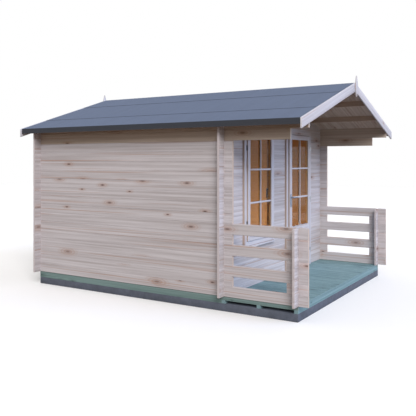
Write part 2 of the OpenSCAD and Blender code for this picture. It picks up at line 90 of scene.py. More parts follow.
def cast_concrete():
    """Dark cast concrete: cloudy over a hand's width, with 4 mm air holes drawn at 9 mm."""
    finish, shader = new_finish("dark cast concrete")
    place = add(finish, "TexCoord").outputs["Object"]
    cloud = add(finish, "TexNoise", {"Vector": place, "Scale": 1 / 0.09, "Detail": 6, "Roughness": 0.6})
    holes = add(finish, "TexVoronoi", {"Vector": place, "Scale": 1 / 0.035})
    pit = add(finish, "MapRange", {"Value": holes.outputs["Distance"], "From Min": 0.06, "From Max": 0.14})
    tone = add(finish, "MapRange", {"Value": cloud.outputs["Fac"], "From Min": 0.3, "From Max": 0.7})
    body = add(finish, "Mix", {0: tone.outputs[0], 6: linear("#4b505b"), 7: linear("#5c6372")},
               data_type="RGBA")
    pitted = add(finish, "Mix", {0: pit.outputs[0], 6: linear("#373b43"), 7: body.outputs[2]},
                 data_type="RGBA")
    bump = add(finish, "Bump", {"Height": pit.outputs[0], "Strength": 0.3, "Distance": 0.002})
    shader.inputs["Roughness"].default_value = 0.8
    feed(finish, shader, Base_Color=pitted.outputs[2], Normal=bump.outputs[0])
    return finish


concrete = cast_concrete()


def fit(piece, finish, body, slot, *stands_for):
    """Gives a made piece its finish and its body, and hides the solids that it stands for; slot is not used.
    """
    if finish:
        piece.data.materials.clear()
        piece.data.materials.append(finish)
    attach(piece, body)
    if stands_for:
        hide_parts(*stands_for)


def eased(node, name, ease):
    """A copy of a solid with its sharp edges eased, standing where the solid stands."""
    bpy.ops.object.select_all(action="DESELECT")
    piece = bpy.data.objects.new(name, nodes[node].data.copy())
    bpy.context.scene.collection.objects.link(piece)
    bpy.context.view_layer.objects.active = piece
    piece.select_set(True)
    bpy.ops.object.mode_set(mode="EDIT")
    bpy.ops.mesh.select_all(action="SELECT")
    bpy.ops.mesh.remove_doubles(threshold=0.00001)
    bpy.ops.mesh.dissolve_limited(angle_limit=radians(1))
    bpy.ops.object.mode_set(mode="OBJECT")
    edge = piece.modifiers.new("eased edges", "BEVEL")
    edge.width = ease
    edge.segments = 2
    edge.limit_method = "ANGLE"
    edge.angle_limit = radians(40)
    bpy.ops.object.modifier_apply(modifier=edge.name)
    bpy.ops.object.shade_smooth_by_angle(angle=radians(35))
    return piece


PLINTH_EASE = 0.004
fit(eased("base_plinth", "plinth_cast", PLINTH_EASE), concrete, "cabin", "plinth_concrete", "base_plinth")

# Bearers and joists: square sawn softwood under the floors, pressure treated so it is grey green.
# They lie on the plinth, and the porch sills lie across the ends of the porch bearers.

# Middles of the side walls and the back wall, where weathered wood gives way to the wood of the room
ROOM_HALF = 1.479
ROOM_BACK = 1.903

# Cells of the wood's pattern in each metre along the board and across it
STREAKS = (0.45, 30, 30)
RUST_LINES = (0.34, 48, 48)
SWAY = (1.8, 9, 9)

# Metres from one growth line to the next, from one ring to the next, and across the cell of a knot
GROWTH_LINE = 0.009
END_RING = 0.0063
KNOT_GAP = 0.26

# A knot's shortening along the board, and the metres that the pattern shifts from board to board
KNOT_SQUEEZE = 0.35
BOARD_SHIFT = 37.0

# Part of a face's normal past which the face counts as turned that way
TURNED = 0.8


def softwood(name, along, boards, tones, inside=None, rough=0.62, third=None, edge=None, fall=0,
             knot_gap=KNOT_GAP, edges_only=False):
    """Sawn or planed softwood with its grain along one axis and a new board at every step of another.

    The eye sees streaks along the board about 30 mm wide, thin rusty lines, growth lines, soft oval
    knots, rings on the cut ends, and boards that differ a little in tone. The growth lines are drawn
    9 mm apart and the rings 6 mm apart, instead of the real 3 mm, so that they show.

    boards is the axis, start and width of the steps. tones are the pale, dark, rusty, knot and cut end
    colours. inside is the pale and dark colour of the room side and the y where the room starts. third
    is an axis that tells the boards of two walls apart. edge is a painted shade: a browner colour for
    faces turned to the left or right. edges_only keeps the room's colour to those faces, so that behind
    the glass it is a painted shade there too. fall is the slope that the pattern of a roof board or
    barge board follows. knot_gap is the width of the cell round each knot.
    """
    pale, dark, rust, knot, cut = [linear(tone) for tone in tones]
    finish, shader = new_finish(name)
    coords = add(finish, "TexCoord")
    split = add(finish, "SeparateXYZ", {0: coords.outputs["Object"]})
    axes = dict(zip("XYZ", split.outputs))
    if fall:
        aside = add(finish, "Math", {0: axes["X"]}, operation="ABSOLUTE")
        levelled = add(finish, "Math", {0: aside.outputs[0], 1: fall, 2: axes["Z"]},
                       operation="MULTIPLY_ADD")
        axes["Z"] = levelled.outputs[0]
    step_axis, start, pitch = boards
    shifted = add(finish, "Math", {0: axes[step_axis], 1: start}, operation="SUBTRACT")
    counted = add(finish, "Math", {0: shifted.outputs[0], 1: pitch}, operation="DIVIDE")
    index = add(finish, "Math", {0: counted.outputs[0]}, operation="FLOOR")
    row = add(finish, "Math", {0: axes[third] if third else 0.0}, operation="ROUND")
    key = add(finish, "CombineXYZ", {0: index.outputs[0], 1: row.outputs[0], 2: 0.5})
    chance = add(finish, "TexWhiteNoise", {"Vector": key.outputs[0]})
    pick = add(finish, "SeparateColor", {0: chance.outputs["Color"]})
    across = [axes[a] for a in "XYZ" if a != along]
    moved = add(finish, "Math", {0: pick.outputs[0], 1: BOARD_SHIFT, 2: axes[along]},
                operation="MULTIPLY_ADD")
    grain_place = add(finish, "CombineXYZ", {0: moved.outputs[0], 1: across[0], 2: across[1]})
    streak_place = add(finish, "Mapping", {"Vector": grain_place.outputs[0], "Scale": STREAKS})
    streak = add(finish, "TexNoise", {"Vector": streak_place.outputs[0], "Scale": 1.0, "Detail": 6,
                                      "Roughness": 0.68})
    rusty_place = add(finish, "Mapping", {"Vector": grain_place.outputs[0], "Scale": RUST_LINES})
    rusty = add(finish, "TexNoise", {"Vector": rusty_place.outputs[0], "Scale": 1.0, "Detail": 2})
    sway_place = add(finish, "Mapping", {"Vector": grain_place.outputs[0], "Scale": SWAY})
    sway = add(finish, "TexNoise", {"Vector": sway_place.outputs[0], "Scale": 1.0, "Detail": 2})

    # Knots are ovals three times as long as they are wide, one in every other cell or so, each of its
    # own size; a large one is a pale swirl and a small one is dark.
    shortened = add(finish, "Math", {0: moved.outputs[0], 1: KNOT_SQUEEZE}, operation="MULTIPLY")
    knot_place = add(finish, "CombineXYZ", {0: shortened.outputs[0], 1: axes[step_axis], 2: 0.0})
    knots = add(finish, "TexVoronoi", {"Vector": knot_place.outputs[0], "Scale": 1 / knot_gap},
                voronoi_dimensions="2D")
    own = add(finish, "SeparateColor", {0: knots.outputs["Color"]})
    girth = add(finish, "MapRange", {"Value": own.outputs[1], "To Min": 0.45, "To Max": 1.35})
    reach = add(finish, "Math", {0: knots.outputs["Distance"], 1: girth.outputs[0]}, operation="DIVIDE")
    heart = add(finish, "MapRange", {"Value": reach.outputs[0], "From Min": 0.02, "From Max": 0.08,
                                     "To Min": 0.9, "To Max": 0.0}, interpolation_type="SMOOTHSTEP")
    halo = add(finish, "MapRange", {"Value": reach.outputs[0], "From Min": 0.05, "From Max": 0.26,
                                    "To Min": 0.7, "To Max": 0.0}, interpolation_type="SMOOTHSTEP")
    few = add(finish, "Math", {0: own.outputs[0], 1: 0.45}, operation="GREATER_THAN")
    dark_heart = add(finish, "MapRange", {"Value": girth.outputs[0], "From Min": 0.5, "From Max": 1.2,
                                          "To Min": 1.0, "To Max": 0.45})
    heart_share = add(finish, "Math", {0: heart.outputs[0], 1: dark_heart.outputs[0]}, operation="MULTIPLY")
    heart_here = add(finish, "Math", {0: heart_share.outputs[0], 1: few.outputs[0]}, operation="MULTIPLY")
    ripple = add(finish, "Math", {0: reach.outputs[0], 1: tau / 0.06}, operation="MULTIPLY")
    ripple_wave = add(finish, "Math", {0: ripple.outputs[0]}, operation="SINE")
    ripple_tone = add(finish, "MapRange", {"Value": ripple_wave.outputs[0], "From Min": -1.0,
                                           "To Min": 0.35})
    halo_lines = add(finish, "Math", {0: halo.outputs[0], 1: ripple_tone.outputs[0]}, operation="MULTIPLY")
    halo_here = add(finish, "Math", {0: halo_lines.outputs[0], 1: few.outputs[0]}, operation="MULTIPLY")

    # Growth lines sway along the board and part round a knot.
    bent = add(finish, "Math", {0: sway.outputs["Fac"], 1: 0.085, 2: across[1]}, operation="MULTIPLY_ADD")
    swirl = add(finish, "Math", {0: halo_here.outputs[0], 1: 0.02, 2: bent.outputs[0]},
                operation="MULTIPLY_ADD")
    turned = add(finish, "Math", {0: swirl.outputs[0], 1: tau / GROWTH_LINE}, operation="MULTIPLY")
    wave = add(finish, "Math", {0: turned.outputs[0]}, operation="SINE")
    lines = add(finish, "MapRange", {"Value": wave.outputs[0], "From Min": -0.2, "From Max": 1.0})
    streak_tone = add(finish, "MapRange", {"Value": streak.outputs["Fac"], "From Min": 0.36,
                                           "From Max": 0.72})
    lined = add(finish, "Math", {0: lines.outputs[0], 1: 0.2, 2: streak_tone.outputs[0]},
                operation="MULTIPLY_ADD")
    toned = add(finish, "Math", {0: pick.outputs[1], 1: 0.12, 2: lined.outputs[0]},
                operation="MULTIPLY_ADD")
    depth = add(finish, "MapRange", {"Value": toned.outputs[0], "From Min": 0.12, "From Max": 1.1})
    wood = add(finish, "Mix", {0: depth.outputs[0], 6: pale, 7: dark}, data_type="RGBA")
    rust_share = add(finish, "MapRange", {"Value": rusty.outputs["Fac"], "From Min": 0.6, "From Max": 0.72,
                                          "To Min": 0.0, "To Max": 0.7})
    rusted = add(finish, "Mix", {0: rust_share.outputs[0], 6: wood.outputs[2], 7: rust}, data_type="RGBA")
    haloed = add(finish, "Mix", {0: halo_here.outputs[0], 6: rusted.outputs[2], 7: rust}, data_type="RGBA")
    surface = add(finish, "Mix", {0: heart_here.outputs[0], 6: haloed.outputs[2], 7: knot}, data_type="RGBA")

    # Cut ends have rings, the faces to the left and right may get a browner painted shade, and the room side
    # is warmer.
    facing = add(finish, "SeparateXYZ", {0: coords.outputs["Normal"]})
    toward_end = add(finish, "Math", {0: facing.outputs["XYZ".index(along)]}, operation="ABSOLUTE")
    cut_end = add(finish, "Math", {0: toward_end.outputs[0], 1: TURNED}, operation="GREATER_THAN")
    ring_x = add(finish, "Math", {0: pick.outputs[2], 1: 0.09, 2: across[0]}, operation="MULTIPLY_ADD")
    ring_place = add(finish, "CombineXYZ", {0: ring_x.outputs[0], 1: across[1], 2: 0.0})
    rings = add(finish, "TexWave", {"Vector": ring_place.outputs[0], "Scale": tau / 20 / END_RING,
                                    "Distortion": 1.2, "Detail Scale": 2.0},
                wave_type="RINGS", rings_direction="Z")
    ring_tone = add(finish, "Math", {0: rings.outputs["Fac"], 1: 0.22}, operation="MULTIPLY")
    end_wood = add(finish, "Mix", {0: ring_tone.outputs[0], 6: cut, 7: dark}, data_type="RGBA")
    whole = add(finish, "Mix", {0: cut_end.outputs[0], 6: surface.outputs[2], 7: end_wood.outputs[2]},
                data_type="RGBA")
    if edge:
        turned_x = add(finish, "Math", {0: facing.outputs[0]}, operation="ABSOLUTE")
        shaded_side = add(finish, "Math", {0: turned_x.outputs[0], 1: TURNED}, operation="GREATER_THAN")
        whole = add(finish, "Mix", {0: shaded_side.outputs[0], 6: whole.outputs[2], 7: linear(edge)},
                    data_type="RGBA")
    if inside:
        indoor_pale, indoor_dark, room_front = inside
        wide = add(finish, "Math", {0: axes["X"]}, operation="ABSOLUTE")
        within_x = add(finish, "Math", {0: wide.outputs[0], 1: ROOM_HALF}, operation="LESS_THAN")
        past_front = add(finish, "Math", {0: axes["Y"], 1: room_front}, operation="GREATER_THAN")
        before_back = add(finish, "Math", {0: axes["Y"], 1: ROOM_BACK}, operation="LESS_THAN")
        deep = add(finish, "Math", {0: past_front.outputs[0], 1: before_back.outputs[0]},
                   operation="MULTIPLY")
        room = add(finish, "Math", {0: deep.outputs[0], 1: within_x.outputs[0]}, operation="MULTIPLY")
        if edges_only:
            room = add(finish, "Math", {0: room.outputs[0], 1: shaded_side.outputs[0]}, operation="MULTIPLY")
        fresh = add(finish, "Mix", {0: depth.outputs[0], 6: linear(indoor_pale), 7: linear(indoor_dark)},
                    data_type="RGBA")
        whole = add(finish, "Mix", {0: room.outputs[0], 6: whole.outputs[2], 7: fresh.outputs[2]},
                    data_type="RGBA")
    relief = add(finish, "Math", {0: lines.outputs[0], 1: 0.5, 2: streak.outputs["Fac"]},
                 operation="MULTIPLY_ADD")
    bump = add(finish, "Bump", {"Height": relief.outputs[0], "Strength": 0.2, "Distance": 0.0015})
    shader.inputs["Roughness"].default_value = rough
    shader.inputs["Specular IOR Level"].default_value = 0.2
    feed(finish, shader, Base_Color=whole.outputs[2], Normal=bump.outputs[0])
    return finish


GREEN = ("#849c9b", "#5f7675", "#536866", "#33413e", "#829a99")
DECK_GREEN = ("#8eadb5", "#5c797f", "#536f76", "#42565a", "#809ca3")
TREATED_STEPS = ("Z", 0.0, 0.3)
TREATED_ROUGH = 0.7
TREATED_KNOTS = 0.12
treated_x = softwood("pressure treated pine, grain across", "X", TREATED_STEPS, GREEN,
                     rough=TREATED_ROUGH, knot_gap=TREATED_KNOTS)
treated_y = softwood("pressure treated pine, grain front to back", "Y", TREATED_STEPS, GREEN,
                     rough=TREATED_ROUGH, knot_gap=TREATED_KNOTS)
treated_deck = softwood("pressure treated pine, porch bearers", "X", TREATED_STEPS, DECK_GREEN,
                        rough=TREATED_ROUGH, knot_gap=TREATED_KNOTS)
dress(["room_joists"], treated_x)
dress(["porch_bearers"], treated_deck)
dress(["room_bearers", "porch_sills"], treated_y)

# Porch floor: treated boards laid front to back with a drainage gap, screwed to each bearer.
# Their long edges are eased by the planer, and each screw is sunk just under the face.


def plank(name, low, high, ease):
    """A board between two corners with its edges eased."""
    middle = [(a + b) / 2 for a, b in zip(low, high)]
    bpy.ops.mesh.primitive_cube_add(size=1, location=middle)
    board = bpy.context.object
    board.name = name
    board.scale = [b - a for a, b in zip(low, high)]
    bpy.ops.object.transform_apply(location=True, rotation=True, scale=True)
    bpy.ops.object.mode_set(mode="EDIT")
    bpy.ops.mesh.select_all(action="SELECT")
    bpy.ops.mesh.bevel(offset=ease, segments=2, affect="EDGES")
    bpy.ops.object.mode_set(mode="OBJECT")
    return board


def repeat(piece, count, step):
    """Copies a piece in a row, each copy in the same mesh."""
    bpy.context.view_layer.objects.active = piece
    row = piece.modifiers.new("row", "ARRAY")
    row.use_relative_offset = False
    row.use_constant_offset = True
    row.constant_offset_displace = step
    row.count = count
    bpy.ops.object.modifier_apply(modifier=row.name)
    return piece


def joined(name, pieces):
    """One object from several pieces."""
    bpy.ops.object.select_all(action="DESELECT")
    for piece in pieces:
        piece.select_set(True)
    bpy.context.view_layer.objects.active = pieces[0]
    bpy.ops.object.join()
    pieces[0].name = name
    return pieces[0]


def screw_head(radius, place, turn=(0, 0, 0)):
    """A countersunk screw head with a dished top, facing +z before it is turned."""
    bpy.ops.mesh.primitive_cylinder_add(vertices=10, radius=radius, depth=radius * 0.4)
    head = bpy.context.object
    bpy.ops.object.mode_set(mode="EDIT")
    bpy.ops.mesh.select_all(action="DESELECT")
    bpy.ops.object.mode_set(mode="OBJECT")
    top = max(head.data.polygons, key=lambda face: face.center.z)
    top.select = True
    bpy.ops.object.mode_set(mode="EDIT")
    bpy.ops.mesh.select_mode(type="FACE")
    bpy.ops.mesh.inset(thickness=radius * 0.45, depth=-radius * 0.25)
    bpy.ops.object.mode_set(mode="OBJECT")
    head.location = place
    head.rotation_euler = turn
    bpy.ops.object.transform_apply(location=True, rotation=True, scale=True)
    return head


low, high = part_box("porch_floor")
PORCH_BOARDS = 24
PORCH_GAP = 0.004
DECK_EASE = 0.002
board_step = (high.x - low.x + PORCH_GAP) / PORCH_BOARDS
first_end = (low.x + board_step - PORCH_GAP, high.y, high.z)
first_board = plank("porch_floor_boards", low, first_end, DECK_EASE)
porch_boards = repeat(first_board, PORCH_BOARDS, (board_step, 0, 0))
porch_wood = softwood("pressure treated deck boards", "Y", ("X", low.x - PORCH_GAP / 2, board_step),
                      DECK_GREEN, rough=TREATED_ROUGH)
fit(porch_boards, porch_wood, "cabin", "green_treated_pine", "porch_floor")


def zinc_steel():
    """Zinc plated steel: bright and grey, with a fine mottle from the plating bath."""
    finish, shader = new_finish("zinc plated steel")
    place = add(finish, "TexCoord").outputs["Object"]
    mottle = add(finish, "TexNoise", {"Vector": place, "Scale": 1 / 0.004, "Detail": 2})
    shine = add(finish, "MapRange", {"Value": mottle.outputs["Fac"], "To Min": 0.3, "To Max": 0.5})
    shader.inputs["Base Color"].default_value = linear("#a9adb2")
    shader.inputs["Metallic"].default_value = 1.0
    feed(finish, shader, Roughness=shine.outputs[0])
    return finish


zinc = zinc_steel()
SCREW_R = 0.005
SCREW_IN = 0.025
SCREW_SUNK = 0.0006
FRONT_ROW = 0.022
BACK_ROW = 0.03
screws = []
for screw_y in (low.y + FRONT_ROW, (low.y + high.y) / 2, high.y - BACK_ROW):
    for inset in (SCREW_IN, board_step - PORCH_GAP - SCREW_IN):
        head = screw_head(SCREW_R, (low.x + inset, screw_y, high.z - SCREW_SUNK))
        screws.append(repeat(head, PORCH_BOARDS, (board_step, 0, 0)))
fit(joined("porch_floor_screws", screws), zinc, "cabin", "grey_steel")

# Room floor: tongued and grooved boards on the joists, laid front to back with tight joints.
# Planed spruce, warmer than the walls outside because the sun has not greyed it.

INDOOR_PALE = "#c3874c"
INDOOR_DARK = "#ab703e"
low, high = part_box("room_floor")
ROOM_BOARDS = 28
JOINT = 0.0006
JOINT_EASE = 0.0015
board_step = (high.x - low.x + JOINT) / ROOM_BOARDS
first_end = (low.x + board_step - JOINT, high.y, high.z)
first_board = plank("room_floor_boards", low, first_end, JOINT_EASE)
room_boards = repeat(first_board, ROOM_BOARDS, (board_step, 0, 0))
room_wood = softwood("spruce floor boards", "Y", ("X", low.x, board_step),
                     (INDOOR_PALE, INDOOR_DARK, "#84532a", "#5a3a22", INDOOR_PALE))
fit(room_boards, room_wood, "cabin", "planed_pine", "room_floor")

# Walls: planed spruce logs 28 mm thick, tongued and grooved, notched over each other at the corners.
# The side logs run front to back and the cross logs lie half a course lower, so each has its own grain.
# The logs under the eaves are drawn browner and darker than the rest, a painted shade from the eaves.

PINE = ("#d1cdd1", "#aaa3a4", "#ac8d7e", "#4c3127", "#cbc3c6")
SIDE_PINE = PINE[:4] + ("#cdbbae",)
# Painted shade: the eave logs' tones are browner and darker than the wall's, as if in the eaves' shadow.
EAVE_SHADE_PINE = ("#c6b8ac", "#a79687", "#a1836f", "#5c4031", "#d8cbc0")
COURSE = 0.116
WALL_MIDDLE = -1.011
wall_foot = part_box("left_wall")[0].z - COURSE
side_steps = ("Z", wall_foot, COURSE)
cross_steps = ("Z", wall_foot - COURSE / 2, COURSE)
indoors = (INDOOR_PALE, INDOOR_DARK, WALL_MIDDLE)
side_spruce = softwood("planed spruce, side logs", "Y", side_steps, SIDE_PINE, inside=indoors, third="X")
cross_spruce = softwood("planed spruce, cross logs", "X", cross_steps, PINE, inside=indoors, third="Y")
eave_shaded_spruce = softwood("planed spruce, eave logs with painted shade", "Y", side_steps, EAVE_SHADE_PINE, inside=indoors, third="X")
dress(["left_wall", "left_balustrade", "right_wall", "right_balustrade"], side_spruce)
dress(["left_eave_logs", "right_eave_logs"], eave_shaded_spruce)
dress(["back_wall", "back_gable", "front_wall_below_window", "front_wall_left", "front_wall_middle",
       "front_wall_right", "front_gable"], cross_spruce)

# Porch posts: short logs crossed in a stack, with tails both ways like the corners of the room.
# The cross logs and the short side logs between them have their own grain, so they are parted here.

# Painted light: the posts' side logs are drawn paler than the wall logs, as if they stood more in the light.
POST_LIT_PINE = ("#d8d2d6", "#b5adae", "#b69587", "#5c4032", "#d3c1b5")
LOG_EASE = 0.0005
post_lit_spruce = softwood("planed spruce, post logs with painted light", "Y", side_steps, POST_LIT_PINE, third="X")
for side in ("left", "right"):
    post = side + "_porch_post"
    eased(post, side + "_post_logs", LOG_EASE)
    bpy.ops.object.mode_set(mode="EDIT")
    bpy.ops.mesh.select_all(action="SELECT")
    bpy.ops.mesh.separate(type="LOOSE")
    bpy.ops.object.mode_set(mode="OBJECT")
    stack = list(bpy.context.selected_objects)
    across_logs = [log for log in stack if log.dimensions.x > log.dimensions.y]
    side_logs = [log for log in stack if log.dimensions.x <= log.dimensions.y]
    fit(joined(side + "_post_cross_logs", across_logs), cross_spruce, "cabin", "planed_pine", post)
    fit(joined(side + "_post_side_logs", side_logs), post_lit_spruce, "cabin", "planed_pine", post)

# Roof timbers: ridge purlin and two purlins a side, let into the gable logs and run out over the porch.
# Square planed spruce; the eave strips are nailed under the ends of the roof boards.

PURLIN_PINE = ("#c1ad9d", "#a28d7b", "#977a65", "#5a3f2e", "#d0beaf")
PURLIN_STEPS = ("X", -2.0, 0.25)
purlin_wood = softwood("planed spruce, purlins", "Y", PURLIN_STEPS, PURLIN_PINE, inside=indoors)
dress(["ridge_purlin", "left_purlins", "right_purlins", "eave_strips"], purlin_wood)

# Roof boards: tongued and grooved spruce from ridge to eave, nailed across the purlins.
# Their planed faces and bevelled joints show from below, in the porch and in the room.

ROOF_PINE = ("#e0d3c9", "#bcab9d", "#b5927d", "#5f4336", "#e6ddd4")
ROOF_PITCH = 17.4
ROOF_SLOPE = tan(radians(ROOF_PITCH))
ROOF_BOARDS = 43
EAVE_ZONE = 0.1
low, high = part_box("left_roof_boards")
board_step = (high.y - low.y + JOINT) / ROOF_BOARDS
deck_wood = softwood("spruce roof boards", "X", ("Y", low.y, board_step), ROOF_PINE, inside=indoors,
                     fall=ROOF_SLOPE)
for side in ("left", "right"):
    low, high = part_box(side + "_roof_boards")
    fall = (high.x - low.x) * ROOF_SLOPE
    board = plank(side + "_roof_planks", (low.x, low.y, low.z + fall),
                  (high.x, low.y + board_step - JOINT, high.z), JOINT_EASE)
    eave_x = low.x if side == "left" else high.x
    bpy.ops.object.mode_set(mode="EDIT")
    bpy.ops.mesh.select_mode(type="VERT")
    bpy.ops.mesh.select_all(action="DESELECT")
    bpy.ops.object.mode_set(mode="OBJECT")
    for vertex in board.data.vertices:
        vertex.select = abs(vertex.co.x - eave_x) < EAVE_ZONE
    bpy.ops.object.mode_set(mode="EDIT")
    bpy.ops.transform.translate(value=(0, 0, -fall))
    bpy.ops.object.mode_set(mode="OBJECT")
    repeat(board, ROOF_BOARDS, (0, board_step, 0))
    fit(board, deck_wood, "cabin", "planed_pine", side + "_roof_boards")

# Roofing felt: bitumen felt faced with slate granules, three strips lapped down each slope.
# The granules are 1 mm and are drawn at 6 mm; faces not turned up, such as the edge folded over the eave,
# are drawn near black, a painted shade.

GRANULE = 0.006


def slate_felt():
    """Mineral felt: a speckle of blue grey granules, dulled in soft streaks down the slope, and near black
    where it is not turned up, a painted shade.
    """
    finish, shader = new_finish("slate mineral felt")
    coords = add(finish, "TexCoord")
    place = coords.outputs["Object"]
    grit = add(finish, "TexNoise", {"Vector": place, "Scale": 1 / GRANULE, "Detail": 3, "Roughness": 0.8})
    run = add(finish, "Mapping", {"Vector": place, "Scale": (1.2, 9, 1.2)})
    streak = add(finish, "TexNoise", {"Vector": run.outputs[0], "Scale": 1.0, "Detail": 4})
    both = add(finish, "Math", {0: streak.outputs["Fac"], 1: 0.3, 2: grit.outputs["Fac"]},
               operation="MULTIPLY_ADD")
    tone = add(finish, "MapRange", {"Value": both.outputs[0], "From Min": 0.4, "From Max": 0.9})
    slate = add(finish, "Mix", {0: tone.outputs[0], 6: linear("#5d677b"), 7: linear("#67738a")},
                data_type="RGBA")
    # Painted shade: faces of the felt that are turned less steeply up get the near black colour.
    facing = add(finish, "SeparateXYZ", {0: coords.outputs["Normal"]})
    shade_by_facing = add(finish, "MapRange", {"Value": facing.outputs[2], "From Min": 0.3, "From Max": 0.6})
    sheet = add(finish, "Mix", {0: shade_by_facing.outputs[0], 6: linear("#40434a"), 7: slate.outputs[2]},
                data_type="RGBA")
    bump = add(finish, "Bump", {"Height": grit.outputs["Fac"], "Strength": 0.35, "Distance": 0.002})
    shader.inputs["Roughness"].default_value = 0.9
    shader.inputs["Specular IOR Level"].default_value = 0.15
    feed(finish, shader, Base_Color=sheet.outputs[2], Normal=bump.outputs[0])
    return finish


felt = slate_felt()
dress(["left_felt", "right_felt", "ridge_felt"], felt)


def blackened_iron():
    """Blackened iron: near black with a waxy sheen and a slight hammered unevenness."""
    finish, shader = new_finish("blackened iron")
    place = add(finish, "TexCoord").outputs["Object"]
    dent = add(finish, "TexNoise", {"Vector": place, "Scale": 1 / 0.009, "Detail": 2})
    tone = add(finish, "Mix", {0: dent.outputs["Fac"], 6: linear("#2a2a2d"), 7: linear("#404045")},
               data_type="RGBA")
    bump = add(finish, "Bump", {"Height": dent.outputs["Fac"], "Strength": 0.3, "Distance": 0.0008})
    shader.inputs["Roughness"].default_value = 0.5
    feed(finish, shader, Base_Color=tone.outputs[2], Normal=bump.outputs[0])
    return finish


iron = blackened_iron()
NAIL_R = 0.0045
NAIL_STEP = 0.15
NAIL_START = 0.06
NAIL_MARGIN = 0.1
NAIL_UP = 0.03
nails = []
for side, turn in (("left", -90), ("right", 90)):
    low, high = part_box(side + "_felt")
    fold_x = low.x if side == "left" else high.x
    count = int((high.y - low.y - NAIL_MARGIN) / NAIL_STEP)
    head = screw_head(NAIL_R, (fold_x, low.y + NAIL_START, low.z + NAIL_UP), (0, radians(turn), 0))
    nails.append(repeat(head, count, (0, NAIL_STEP, 0)))
fit(joined("felt_clout_nails", nails), iron, "cabin", "dark_iron")

# Barge boards and finials: pale planed boards over the ends of the roof, front and back, with eased edges.
# Pairs of screws hold each board at the ridge, the purlins and the eave, and a diamond covers the joint.

JOINERY = ("#d3d3db", "#b9b5bb", "#b89c90", "#6f5347", "#d9d9e0")
ONE_BARGE = ("Z", 0.0, 4.0)
ONE_FINIAL = ("X", -1.0, 2.0)
BARGE_ROUGH = 0.55
barge_wood = softwood("pale planed spruce, barge boards", "X", ONE_BARGE, JOINERY, rough=BARGE_ROUGH,
                      third="Y", fall=ROOF_SLOPE)
finial_wood = softwood("pale planed spruce, finials", "Z", ONE_FINIAL, JOINERY, rough=BARGE_ROUGH,
                       third="Y")
BARGE_EASE = 0.002
BARGE_SCREW_R = 0.004
SCREW_X = (0.12, 0.51, 1.025, 1.5)
SCREW_UP = 0.022
screws = []
for end, turn in (("front", 90), ("back", -90)):
    barges = end + "_barge_boards"
    finial = end + "_finial"
    fit(eased(barges, end + "_barges", BARGE_EASE), barge_wood, "cabin", "pale_joinery_pine", barges)
    fit(eased(finial, end + "_diamond", BARGE_EASE), finial_wood, "cabin", "pale_joinery_pine", finial)
    low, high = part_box(barges)
    face_y = low.y + SCREW_SUNK if end == "front" else high.y - SCREW_SUNK
    half_depth = (high.z - low.z - high.x * ROOF_SLOPE) / 2
    for x in SCREW_X:
        for up in (-SCREW_UP, SCREW_UP):
            z = high.z - half_depth - x * ROOF_SLOPE + up
            head = screw_head(BARGE_SCREW_R, (-x, face_y, z), (radians(turn), 0, 0))
            screws.append(repeat(head, 2, (2 * x, 0, 0)))
fit(joined("barge_screws", screws), zinc, "cabin", "grey_steel")

# Window: a casing and lining round the log ends, and a sash of stiles and rails that holds the glass.
# All planed joinery spruce; the grain runs along each bar, so uprights and rails are separate boards.

# Faces of the front wall's logs, and the plane of the panes
LOG_FRONT = -1.0252
LOG_BACK = -0.9968
GLASS_PLANE = -1.045
behind_casing = (INDOOR_PALE, INDOOR_DARK, LOG_FRONT)
behind_glass = (INDOOR_PALE, INDOOR_DARK, GLASS_PLANE)
# Painted shade: joinery faces turned to the left or right are drawn browner, as if in shade.
SIDE_SHADE_BROWN = "#b9a598"
UPRIGHT_STEPS = ("X", 0.0, 0.11)
RAIL_STEPS = ("Z", 0.0, 0.2)
JOINERY_ROUGH = 0.5
upright_wood = softwood("pale joinery spruce, uprights", "Z", UPRIGHT_STEPS, JOINERY, inside=behind_glass,
                        rough=JOINERY_ROUGH, edge=SIDE_SHADE_BROWN)
rail_wood = softwood("pale joinery spruce, rails", "X", RAIL_STEPS, JOINERY, inside=behind_glass,
                     rough=JOINERY_ROUGH)
casing_wood = softwood("pale joinery spruce, casings", "Z", UPRIGHT_STEPS, JOINERY, inside=behind_casing,
                       rough=JOINERY_ROUGH, edge=SIDE_SHADE_BROWN)
JOINERY_EASE = 0.0015


def board_of(wood, low, high, ease=JOINERY_EASE):
    """One planed board with its own grain."""
    board = plank("board", low, high, ease)
    board.data.materials.append(wood)
    return board


def ring(outer, inner, near, far, upright):
    """Two uprights and two rails round an opening; each corner pair is x and z, near and far are y."""
    (x1, z1), (x4, z4) = outer
    (x2, z2), (x3, z3) = inner
    return [board_of(upright, (x1, near, z1), (x2, far, z4)),
            board_of(upright, (x3, near, z1), (x4, far, z4)),
            board_of(rail_wood, (x2, near, z1), (x3, far, z2)),
            board_of(rail_wood, (x2, near, z3), (x3, far, z4))]


CASING = 0.056
LINING = 0.0356
STOP = 0.012
SASH_PLAY = 0.0004
DRIP_EASE = 0.002
low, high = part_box("window_frame")
sash_low, sash_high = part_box("window_sash")
whole = ((low.x, low.z), (high.x, high.z))
clear = ((low.x + CASING, low.z + CASING), (high.x - CASING, high.z - CASING))
lined = ((clear[0][0] - LINING, clear[0][1] - LINING), (clear[1][0] + LINING, clear[1][1] + LINING))
stopped = ((clear[0][0] + STOP, clear[0][1] + STOP), (clear[1][0] - STOP, clear[1][1] - STOP))
frame_boards = ring(whole, clear, low.y, LOG_FRONT, casing_wood)
frame_boards += ring(lined, clear, LOG_FRONT, LOG_BACK, casing_wood)
frame_boards += ring(clear, stopped, sash_high.y + SASH_PLAY, high.y, casing_wood)
frame_boards += ring(whole, clear, LOG_BACK, high.y, casing_wood)
fit(joined("window_frame_boards", frame_boards), None, "cabin", "pale_joinery_pine", "window_frame")
fit(eased("window_drip_board", "window_drip", DRIP_EASE), rail_wood, "cabin", "pale_joinery_pine",
    "window_drip_board")

